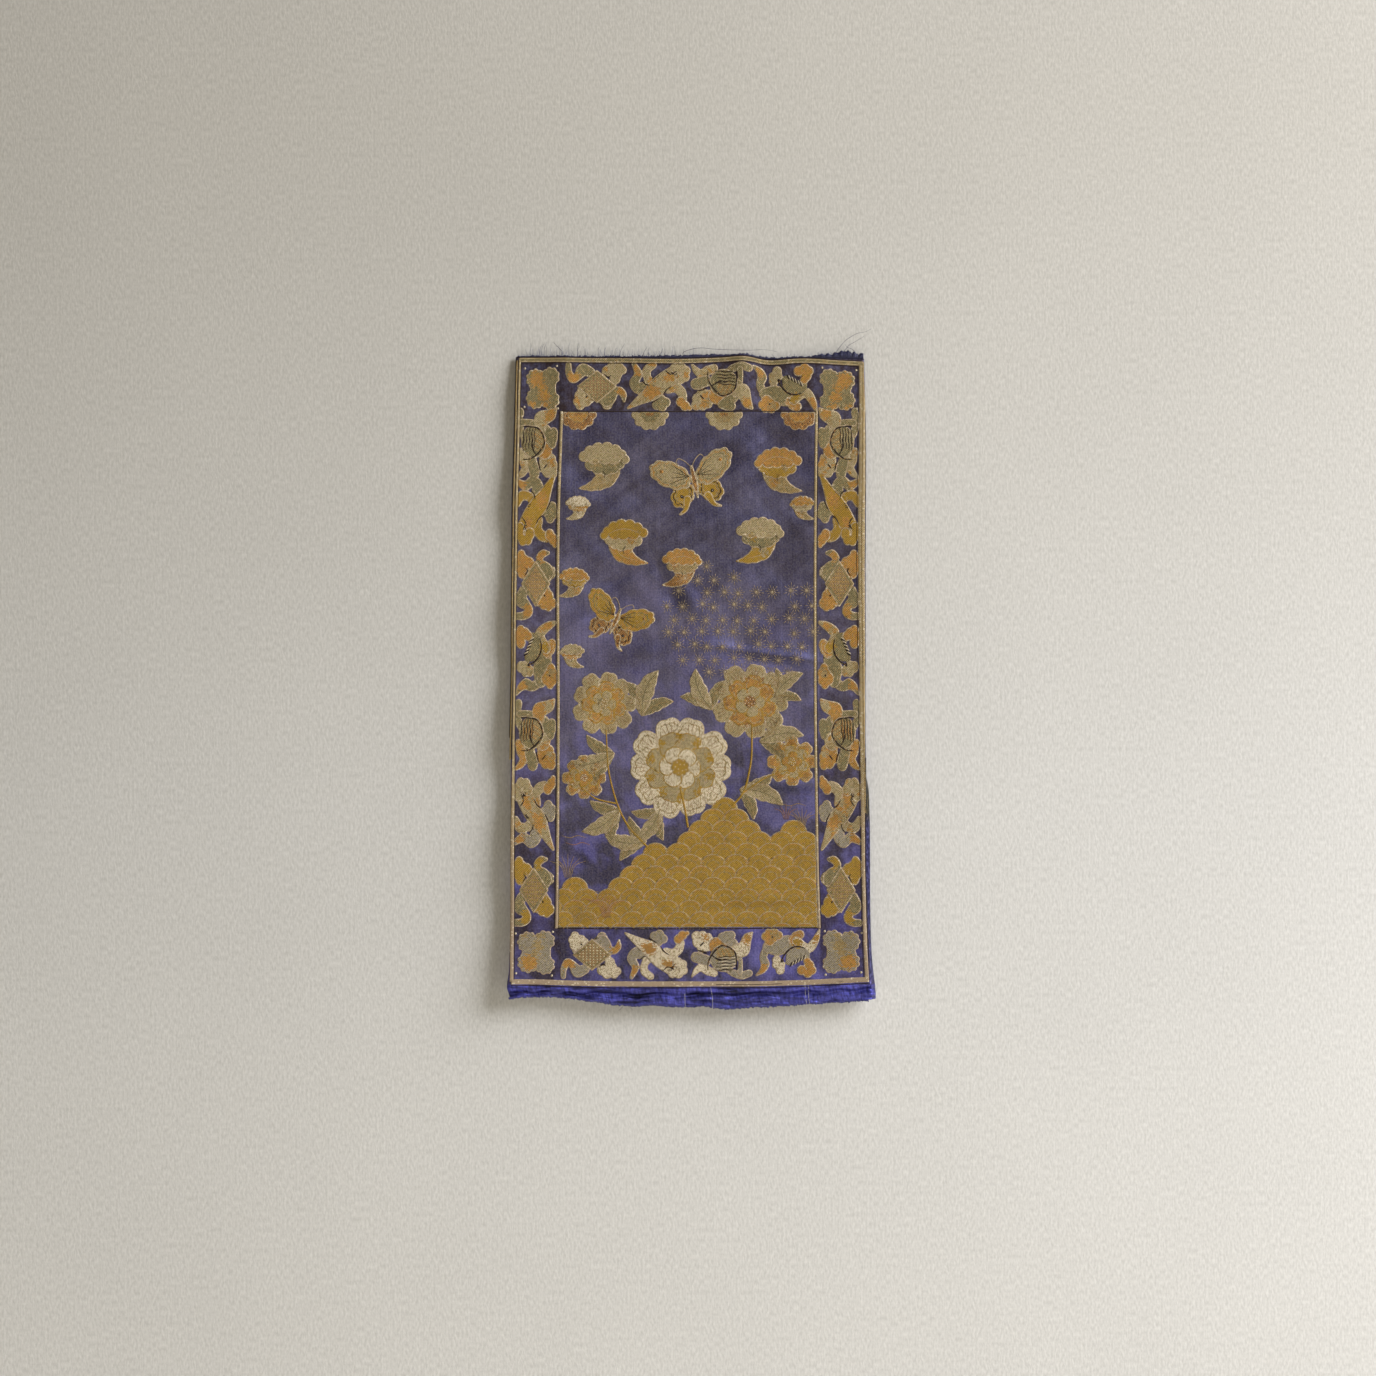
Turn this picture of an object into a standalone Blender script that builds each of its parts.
"""Silk brocade panel that hangs by its top edge.

One length of narrow-loom silk, cut raw at the top and at the foot.  Both selvedges are
turned to the back, and low on the right side the turn has come open again.  The raw
ends fray into loose yarns.

Looking at the front, +X is to the right, +Y goes away to what it hangs against and +Z
is up.  The origin is the middle of the top edge, where the panel is held.
"""
import math
from collections import namedtuple

import bmesh
import bpy
import numpy as np
from mathutils import Vector

MM = 0.001

# Driving sizes of the cloth
LENGTH = 647 * MM             # from the raw top edge to the raw foot, at the middle
HALF_WIDTH = 178 * MM         # from the middle to a turned side edge, at the middle
THICKNESS = 1.0 * MM
SELVEDGE = 8.0 * MM           # the flat part of each turned margin
TURN_RADIUS = 1.1 * MM        # of the turned edge, to the middle of the cloth

# Driving sizes of the frayed ends
FRAY_GAP = 0.4 * MM           # parts a frayed strip from the cloth that it grows from
FRAY_THICKNESS = 0.8 * MM
FRAY_RAGGED = 0.35            # how uneven a strip's free edge is, as a share of its height
RAGGED_PITCH = 6.1 * MM       # between the points of that edge
YARN = 0.42 * MM              # a loose yarn where it leaves the strip
YARN_TIP = 0.26 * MM
SHORT_YARN_PITCH = 7.4 * MM
SHORT_YARN_RISE = (1.4 * MM, 4.2 * MM)
SHORT_YARN_LEAN = 2.2 * MM
YARN_CLEARANCE = 1.2 * MM     # between the roots of two yarns

# How finely the cloth and the yarns are divided
FACE_COLUMNS = 25
TURN_COLUMNS = 5
SELVEDGE_COLUMNS = 2
BODY_ROWS = 40
PLAIN_END_ROWS = 10
PLAIN_END_FROM = 0.966        # share of the length where the plain end starts
YARN_STEPS = 4

# The side edges, a row for each height: how far down it is, where the left and the right
# edge are, and through how many degrees each selvedge is turned to the back
Side = namedtuple("Side", "down left right left_turn right_turn")
SIDES = [
    Side(0 * MM, -174.0 * MM, 174.0 * MM, 172, 172),
    Side(80 * MM, -176.2 * MM, 175.6 * MM, 172, 172),
    Side(162 * MM, -178.2 * MM, 175.4 * MM, 172, 172),
    Side(280 * MM, -178.5 * MM, 175.2 * MM, 172, 172),
    Side(372 * MM, -178.7 * MM, 175.2 * MM, 172, 172),
    Side(398 * MM, -178.8 * MM, 175.3 * MM, 172, 160),
    Side(424 * MM, -178.9 * MM, 175.6 * MM, 172, 84),
    Side(460 * MM, -179.0 * MM, 175.4 * MM, 172, 58),
    Side(502 * MM, -179.2 * MM, 175.2 * MM, 172, 50),
    Side(555 * MM, -179.2 * MM, 175.4 * MM, 172, 52),
    Side(600 * MM, -179.8 * MM, 177.6 * MM, 170, 60),
    Side(622 * MM, -180.6 * MM, 179.8 * MM, 158, 62),
    Side(636 * MM, -182.2 * MM, 181.4 * MM, 128, 60),
    Side(648 * MM, -179.4 * MM, 181.8 * MM, 118, 58),
]

# The two cut ends, a row for each place across: the height of the top edge, and how far
# down the last woven stripe ends and the raw foot is
End = namedtuple("End", "across top stripe_end foot")
ENDS = [
    End(-180 * MM, 0.6 * MM, 626.0 * MM, 639.5 * MM),
    End(-160 * MM, 0.7 * MM, 626.6 * MM, 638.0 * MM),
    End(-134 * MM, 0.6 * MM, 627.5 * MM, 638.2 * MM),
    End(-98 * MM, 0.3 * MM, 628.2 * MM, 642.2 * MM),
    End(-58 * MM, 0.2 * MM, 628.9 * MM, 647.0 * MM),
    End(-40 * MM, 0.1 * MM, 629.0 * MM, 646.0 * MM),
    End(-8 * MM, 0.0 * MM, 629.0 * MM, 648.0 * MM),
    End(16 * MM, 0.6 * MM, 629.0 * MM, 647.6 * MM),
    End(37 * MM, 1.2 * MM, 629.0 * MM, 650.4 * MM),
    End(55 * MM, 2.0 * MM, 628.8 * MM, 648.6 * MM),
    End(78 * MM, -1.2 * MM, 628.2 * MM, 647.4 * MM),
    End(112 * MM, 0.0 * MM, 627.2 * MM, 645.6 * MM),
    End(150 * MM, -0.6 * MM, 625.2 * MM, 643.4 * MM),
    End(182 * MM, -1.6 * MM, 623.4 * MM, 641.4 * MM),
]

# Soft folds that hang from the top edge and die away downwards
Drape = namedtuple("Drape", "across width forward reach")
DRAPES = [
    Drape(-152 * MM, 14 * MM, -0.9 * MM, 90 * MM),
    Drape(-124 * MM, 12 * MM, 1.7 * MM, 110 * MM),
    Drape(-84 * MM, 20 * MM, -1.0 * MM, 200 * MM),
    Drape(-24 * MM, 24 * MM, 1.2 * MM, 330 * MM),
    Drape(24 * MM, 12 * MM, -1.0 * MM, 80 * MM),
    Drape(52 * MM, 10 * MM, 2.5 * MM, 70 * MM),
    Drape(78 * MM, 11 * MM, -2.0 * MM, 90 * MM),
    Drape(122 * MM, 22 * MM, 1.2 * MM, 260 * MM),
]

# Creases: the middle of each, its slope, half its length, its width and how far the cloth
# stands forward along it; a trough has a value below zero
Crease = namedtuple("Crease", "across down slope reach width forward")
CREASES = [
    Crease(77 * MM, 298 * MM, -8, 62 * MM, 6 * MM, 2.0 * MM),
    Crease(70 * MM, 309 * MM, -6, 60 * MM, 6 * MM, -1.4 * MM),
    Crease(94 * MM, 427 * MM, -2, 46 * MM, 5 * MM, 1.3 * MM),
    Crease(92 * MM, 435 * MM, -2, 46 * MM, 5 * MM, -1.7 * MM),
    Crease(-24 * MM, 222 * MM, -62, 30 * MM, 8 * MM, -1.7 * MM),
    Crease(-8 * MM, 234 * MM, -60, 34 * MM, 9 * MM, 1.6 * MM),
    Crease(-70 * MM, 219 * MM, 18, 34 * MM, 9 * MM, -1.3 * MM),
    Crease(62 * MM, 172 * MM, 30, 26 * MM, 12 * MM, 1.3 * MM),
    Crease(-30 * MM, 296 * MM, 12, 70 * MM, 12 * MM, 1.3 * MM),
    Crease(-112 * MM, 372 * MM, 84, 70 * MM, 16 * MM, 1.6 * MM),
    Crease(-64 * MM, 356 * MM, 70, 40 * MM, 12 * MM, -1.0 * MM),
    Crease(112 * MM, 360 * MM, 80, 60 * MM, 14 * MM, 1.3 * MM),
    Crease(20 * MM, 470 * MM, 24, 80 * MM, 22 * MM, -1.2 * MM),
    Crease(72 * MM, 541 * MM, 3, 40 * MM, 5 * MM, 1.6 * MM),
    Crease(66 * MM, 551 * MM, 4, 52 * MM, 5 * MM, -1.7 * MM),
    Crease(76 * MM, 562 * MM, -3, 40 * MM, 5 * MM, 1.4 * MM),
    Crease(-60 * MM, 590 * MM, 10, 50 * MM, 10 * MM, 1.3 * MM),
    Crease(150 * MM, 470 * MM, -40, 26 * MM, 8 * MM, -1.3 * MM),
]

# The plain end under the last stripe lies in soft level folds
PlainFold = namedtuple("PlainFold", "below width forward")
PLAIN_FOLDS = [
    PlainFold(3.5 * MM, 3.2 * MM, 1.7 * MM),
    PlainFold(10.0 * MM, 3.6 * MM, -1.6 * MM),
    PlainFold(17.0 * MM, 4.2 * MM, 1.5 * MM),
]

# The side edges and the foot curl towards the front, and the side edges ripple
SIDE_CURL = 4.2 * MM
FOOT_CURL = 2.6 * MM
Ripple = namedtuple("Ripple", "side height length start")
RIPPLES = [
    Ripple(-1, 1.8 * MM, 118 * MM, 0.6),
    Ripple(1, 1.6 * MM, 146 * MM, 2.1),
]

# Height of the frayed strip along the top edge and along the foot
Fray = namedtuple("Fray", "across top foot")
FRAYS = [
    Fray(-180 * MM, 1.0 * MM, 1.2 * MM),
    Fray(-100 * MM, 1.3 * MM, 1.6 * MM),
    Fray(-30 * MM, 2.2 * MM, 2.0 * MM),
    Fray(20 * MM, 2.4 * MM, 1.5 * MM),
    Fray(90 * MM, 1.7 * MM, 2.0 * MM),
    Fray(130 * MM, 2.4 * MM, 1.4 * MM),
    Fray(150 * MM, 3.4 * MM, 1.4 * MM),
    Fray(182 * MM, 4.2 * MM, 1.2 * MM),
]

# Loose yarns: where each is rooted, how far its tip leans to the right, stands out of the
# edge and comes forward
Yarn = namedtuple("Yarn", "across lean rise forward")
TOP_YARNS = [
    Yarn(-160.0 * MM, 1.0 * MM, 13 * MM, 1.0 * MM),
    Yarn(-150.6 * MM, 2.4 * MM, 11 * MM, 0.4 * MM),
    Yarn(-148.4 * MM, 1.6 * MM, 12 * MM, -0.6 * MM),
    Yarn(-146.0 * MM, 2.2 * MM, 14 * MM, 1.2 * MM),
    Yarn(-128.0 * MM, -8.6 * MM, 14 * MM, 0.8 * MM),
    Yarn(-126.4 * MM, -7.0 * MM, 10 * MM, -0.8 * MM),
    Yarn(-121.0 * MM, 0.8 * MM, 15 * MM, 0.5 * MM),
    Yarn(-112.6 * MM, 1.0 * MM, 14 * MM, 1.2 * MM),
    Yarn(-104.0 * MM, -1.2 * MM, 8 * MM, -0.5 * MM),
    Yarn(-92.0 * MM, 1.4 * MM, 10 * MM, 0.9 * MM),
    Yarn(-86.0 * MM, 1.8 * MM, 9 * MM, -0.6 * MM),
    Yarn(-75.0 * MM, 1.2 * MM, 9 * MM, 0.8 * MM),
    Yarn(-70.2 * MM, 5.0 * MM, 14 * MM, 0.4 * MM),
    Yarn(-47.0 * MM, 4.2 * MM, 10 * MM, 1.0 * MM),
    Yarn(-41.6 * MM, 0.8 * MM, 9 * MM, -0.4 * MM),
    Yarn(-30.0 * MM, 3.4 * MM, 8 * MM, 0.9 * MM),
    Yarn(-25.4 * MM, 1.0 * MM, 9 * MM, -0.7 * MM),
    Yarn(-15.0 * MM, 1.2 * MM, 6 * MM, 0.5 * MM),
]
FOOT_YARNS = [
    Yarn(-67.0 * MM, -4.0 * MM, 5.5 * MM, 1.0 * MM),
    Yarn(-60.0 * MM, 2.6 * MM, 4.5 * MM, 0.6 * MM),
    Yarn(-4.8 * MM, 0.2 * MM, 3.0 * MM, 1.0 * MM),
    Yarn(22.0 * MM, 0.6 * MM, 3.0 * MM, 0.8 * MM),
    Yarn(116.6 * MM, 1.6 * MM, 12.0 * MM, 1.4 * MM),
    Yarn(119.4 * MM, 2.8 * MM, 15.0 * MM, 0.8 * MM),
]

# Long yarns pulled out of the top edge: how far each comes forward and the points that it
# passes from its root, as millimetres across and up
LongYarn = namedtuple("LongYarn", "forward route")
LONG_YARNS = [
    LongYarn(2.2 * MM, [(-7.4, 4.0), (-1.0, 7.4), (9.0, 9.4), (24.0, 8.2), (42.0, 7.4),
                        (60.0, 7.0), (76.0, 7.4), (87.0, 5.4)]),
    LongYarn(0.6 * MM, [(146.4, 5.0), (150.0, 10.6), (154.6, 16.0), (161.0, 20.8),
                        (168.0, 24.2), (175.4, 25.6), (181.6, 28.8)]),
    LongYarn(1.8 * MM, [(153.2, 5.4), (155.8, 8.4), (158.8, 12.0), (165.0, 15.6), (174.6, 21.4)]),
    LongYarn(-1.0 * MM, [(164.2, 6.4), (161.6, 8.6), (157.4, 10.4), (155.0, 13.4)]),
]

# Colours of the two silks, as linear red, green and blue
BROCADE_COLOUR = (0.110, 0.088, 0.130, 1.0)
NAVY_SILK_COLOUR = (0.040, 0.038, 0.125, 1.0)
SILK_ROUGHNESS = 0.45


def clear_scene():
    """Take away what the new file came with."""
    for old in list(bpy.data.objects):
        bpy.data.objects.remove(old, do_unlink=True)


def along(table, key, name, place):
    """The smooth curve through a table's rows, a cubic with each row's own slope."""
    knots = np.array([getattr(row, key) for row in table], dtype=float)
    values = np.array([getattr(row, name) for row in table], dtype=float)
    slopes = np.gradient(values, knots)
    place = np.clip(place, knots[0], knots[-1])
    first = np.clip(np.searchsorted(knots, place) - 1, 0, len(knots) - 2)
    span = knots[first + 1] - knots[first]
    part = (place - knots[first]) / span
    rest = 1 - part
    ends = values[first] * (1 + 2 * part) * rest ** 2 + values[first + 1] * (3 - 2 * part) * part ** 2
    bend = slopes[first] * part * rest ** 2 - slopes[first + 1] * rest * part ** 2
    return ends + span * bend


def ease(value, low, high):
    """0 below low, 1 above high and a smooth step between them."""
    part = np.clip((value - low) / (high - low), 0, 1)
    return part * part * (3 - 2 * part)


def cloth_depth(across, down):
    """Where the middle of the cloth is in Y, from its folds, creases and curled edges."""
    sideways = np.clip(across / HALF_WIDTH, -1.05, 1.05)
    below_top = ease(down, 0, 60 * MM)
    forward = SIDE_CURL * sideways ** 4 * below_top
    forward = forward + FOOT_CURL * np.clip(down / LENGTH, 0, 1.1) ** 3
    for ripple in RIPPLES:
        edge = np.clip(ripple.side * sideways, 0, 1.05) ** 3
        wave = np.sin(2 * math.pi * down / ripple.length + ripple.start)
        forward = forward + ripple.height * edge * below_top * wave
    for drape in DRAPES:
        shape = np.exp(-((across - drape.across) / drape.width) ** 2)
        forward = forward + drape.forward * shape * np.exp(-np.clip(down, 0, None) / drape.reach)
    for crease in CREASES:
        turn = math.radians(crease.slope)
        right = across - crease.across
        up = crease.down - down
        lengthwise = right * math.cos(turn) + up * math.sin(turn)
        sidewise = up * math.cos(turn) - right * math.sin(turn)
        shape = np.exp(-(lengthwise / crease.reach) ** 4 - (sidewise / crease.width) ** 2)
        forward = forward + crease.forward * shape
    below_stripe = down - along(ENDS, "across", "stripe_end", across)
    for fold in PLAIN_FOLDS:
        forward = forward + fold.forward * np.exp(-((below_stripe - fold.below) / fold.width) ** 2)
    return -forward


def cloth_surface():
    """The middle of the whole cloth on a grid: rows go down, columns from one selvedge to
    the other.  A turned margin runs round an arc behind the edge and then on, flat."""
    body = np.linspace(0, PLAIN_END_FROM, BODY_ROWS, endpoint=False)
    plain = np.linspace(PLAIN_END_FROM, 1, PLAIN_END_ROWS + 1)
    share = np.concatenate([body, plain])[:, None]

    def edge(name):
        return along(SIDES, "down", name, share * LENGTH)

    def down_at(across):
        top = -along(ENDS, "across", "top", across)
        foot = along(ENDS, "across", "foot", across)
        return top + (foot - top) * share

    def margin(start, side, turn_name):
        """The arc and the flat part beyond one edge, from the edge outwards."""
        turn = np.radians(edge(turn_name))
        swept = turn * np.linspace(0, 1, TURN_COLUMNS + 1)[None, 1:]
        flat = SELVEDGE * np.linspace(0, 1, SELVEDGE_COLUMNS + 1)[None, 1:]
        arc_out = TURN_RADIUS * np.sin(swept)
        arc_back = TURN_RADIUS * (1 - np.cos(swept))
        out = np.concatenate([arc_out, arc_out[:, -1:] + flat * np.cos(turn)], axis=1)
        back = np.concatenate([arc_back, arc_back[:, -1:] + flat * np.sin(turn)], axis=1)
        across = start + side * out
        down = down_at(np.broadcast_to(start, across.shape))
        covered = side * np.minimum(side * across, side * start)
        return across, down, cloth_depth(covered, down) + back

    left = edge("left") + TURN_RADIUS
    right = edge("right") - TURN_RADIUS
    face_across = left + (right - left) * np.linspace(0, 1, FACE_COLUMNS + 1)[None, :]
    face_down = down_at(face_across)
    face = (face_across, face_down, cloth_depth(face_across, face_down))
    left_margin = margin(left, -1, "left_turn")
    right_margin = margin(right, 1, "right_turn")
    joined = []
    for outer_left, middle, outer_right in zip(left_margin, face, right_margin):
        joined.append(np.concatenate([outer_left[:, ::-1], middle, outer_right], axis=1))
    across, down, depth = joined
    return np.stack([across, depth, -down], axis=-1)


def silk_material(name, colour):
    """Plain silk of one colour, with a soft gloss."""
    material = bpy.data.materials.new(name)
    material.use_nodes = True
    shader = material.node_tree.nodes["Principled BSDF"]
    shader.inputs["Base Color"].default_value = colour
    shader.inputs["Roughness"].default_value = SILK_ROUGHNESS
    shader.inputs["Metallic"].default_value = 0.0
    return material


def add_object(name, mesh, material, collection):
    """Put one finished mesh into the panel's collection under its node's name."""
    mesh.materials.append(material)
    piece = bpy.data.objects.new(name, mesh)
    collection.objects.link(piece)
    return piece


def make_cloth(points, collection):
    """The cloth: a grid laid over its surface, then given its thickness."""
    rows, columns = points.shape[:2]
    sheet = bmesh.new()
    bmesh.ops.create_grid(sheet, x_segments=columns - 1, y_segments=rows - 1, size=0.5)
    for vertex in sheet.verts:
        column = round((vertex.co.x + 0.5) * (columns - 1))
        row = round((0.5 - vertex.co.y) * (rows - 1))
        vertex.co = points[row, column]
    mesh = bpy.data.meshes.new("brocade_panel")
    sheet.to_mesh(mesh)
    sheet.free()
    mesh.shade_smooth()
    cloth = add_object("brocade_panel", mesh, silk_material("brocade", BROCADE_COLOUR), collection)
    body = cloth.modifiers.new("thickness", "SOLIDIFY")
    body.thickness = THICKNESS
    body.offset = 0.0


def strand_frame(heading):
    """The two directions across a strand that runs along heading."""
    sideways = Vector((0, 1, 0)).cross(heading).normalized()
    return sideways, heading.cross(sideways).normalized()


def draw_yarn(strip, face, side, path):
    """Draw a face of the strip out along a path as one square strand that tapers."""
    frame = strand_frame(Vector((0, 0, side)))
    before = face.calc_center_median()
    for step, point in enumerate(path):
        face = bmesh.ops.extrude_discrete_faces(strip, faces=[face])["faces"][0]
        middle = face.calc_center_median()
        ahead = path[min(step + 1, len(path) - 1)]
        half = (YARN + (YARN_TIP - YARN) * (step + 1) / len(path)) / 2
        new_frame = strand_frame((ahead - before).normalized())
        for vertex in face.verts:
            offset = vertex.co - middle
            place = point.copy()
            for old, new in zip(frame, new_frame):
                place += new * math.copysign(half, offset.dot(old))
            vertex.co = place
        frame = new_frame
        before = point


def short_yarns(left, right, taken):
    """The many short yarns of a frayed edge, spread unevenly between the long ones."""
    golden = (math.sqrt(5) - 1) / 2
    low, high = SHORT_YARN_RISE
    found = []
    for number in range(int((right - left) / SHORT_YARN_PITCH)):
        spread = (number * golden) % 1
        across = left + SHORT_YARN_PITCH * (number + 0.15 + 0.7 * spread)
        if min(abs(across - root) for root in taken) < YARN_CLEARANCE:
            continue
        turn = (number * number * golden) % 1
        found.append(Yarn(across, SHORT_YARN_LEAN * (2 * turn - 1), low + (high - low) * spread,
                          (turn - 0.6) * MM))
    return found


def make_fray(name, side, cut_end, height_name, yarns, long_yarns, collection):
    """A narrow ragged strip past one raw end of the cloth, whose face points are cut_end,
    with the loose yarns drawn out of it.  side is 1 for the top edge and -1 for the foot."""
    left = cut_end[0, 0] + TURN_RADIUS
    right = cut_end[-1, 0] - TURN_RADIUS
    taken = [yarn.across for yarn in yarns] + [yarn.route[0][0] * MM for yarn in long_yarns]
    yarns = yarns + short_yarns(left, right, taken)
    roots = [yarn.across for yarn in yarns] + [yarn.route[0][0] * MM for yarn in long_yarns]

    strip = bmesh.new()
    bmesh.ops.create_cube(strip, size=1.0)
    cuts = [root + offset for root in roots for offset in (-YARN / 2, YARN / 2)]
    for number in range(1, int((right - left) / RAGGED_PITCH)):
        cut = left + number * RAGGED_PITCH
        if min(abs(cut - root) for root in roots) > YARN:
            cuts.append(cut)
    for cut in sorted(cuts):
        place = Vector(((cut - left) / (right - left) - 0.5, 0, 0))
        whole = strip.verts[:] + strip.edges[:] + strip.faces[:]
        bmesh.ops.bisect_plane(strip, geom=whole, plane_co=place, plane_no=(1, 0, 0), dist=1e-7)

    for vertex in strip.verts:
        across = left + (vertex.co.x + 0.5) * (right - left)
        depth, edge = (np.interp(across, cut_end[:, 0], cut_end[:, axis]) for axis in (1, 2))
        phase = across / RAGGED_PITCH
        uneven = 1 + FRAY_RAGGED * math.sin(2.4 * phase) * math.sin(0.9 * phase)
        height = float(along(FRAYS, "across", height_name, across)) * uneven
        outer = vertex.co.z * side > 0
        up = edge + side * (FRAY_GAP + (height if outer else 0))
        vertex.co = (across, depth + vertex.co.y * FRAY_THICKNESS, up)

    def root_face(across):
        outward = [face for face in strip.faces if face.normal.z * side > 0.5]
        return min(outward, key=lambda face: abs(face.calc_center_median().x - across))

    strip.normal_update()
    grown = []
    for yarn in yarns:
        face = root_face(yarn.across)
        root = face.calc_center_median()
        steps = YARN_STEPS if yarn.rise > SHORT_YARN_RISE[1] else 1
        path = []
        for step in range(1, steps + 1):
            part = step / steps
            path.append(Vector((root.x + yarn.lean * part ** 2, root.y - yarn.forward * part,
                                root.z + side * yarn.rise * part)))
        grown.append((face, path))
    for yarn in long_yarns:
        face = root_face(yarn.route[0][0] * MM)
        root = face.calc_center_median()
        path = []
        for step, (across, up) in enumerate(yarn.route):
            path.append(Vector((across * MM, root.y - yarn.forward * (step + 1) / len(yarn.route), up * MM)))
        grown.append((face, path))
    for face, path in grown:
        draw_yarn(strip, face, side, path)

    mesh = bpy.data.meshes.new(name)
    strip.to_mesh(mesh)
    strip.free()
    return add_object(name, mesh, silk_material(name, NAVY_SILK_COLOUR), collection)


def main():
    """Build the panel."""
    clear_scene()
    collection = bpy.data.collections.new("silk_brocade_panel")
    bpy.context.scene.collection.children.link(collection)
    points = cloth_surface()
    make_cloth(points, collection)
    first = TURN_COLUMNS + SELVEDGE_COLUMNS
    face = points[:, first:first + FACE_COLUMNS + 1]
    make_fray("top_fray", 1, face[0], "top", TOP_YARNS, LONG_YARNS, collection)
    make_fray("bottom_fray", -1, face[-1], "foot", FOOT_YARNS, [], collection)


main()
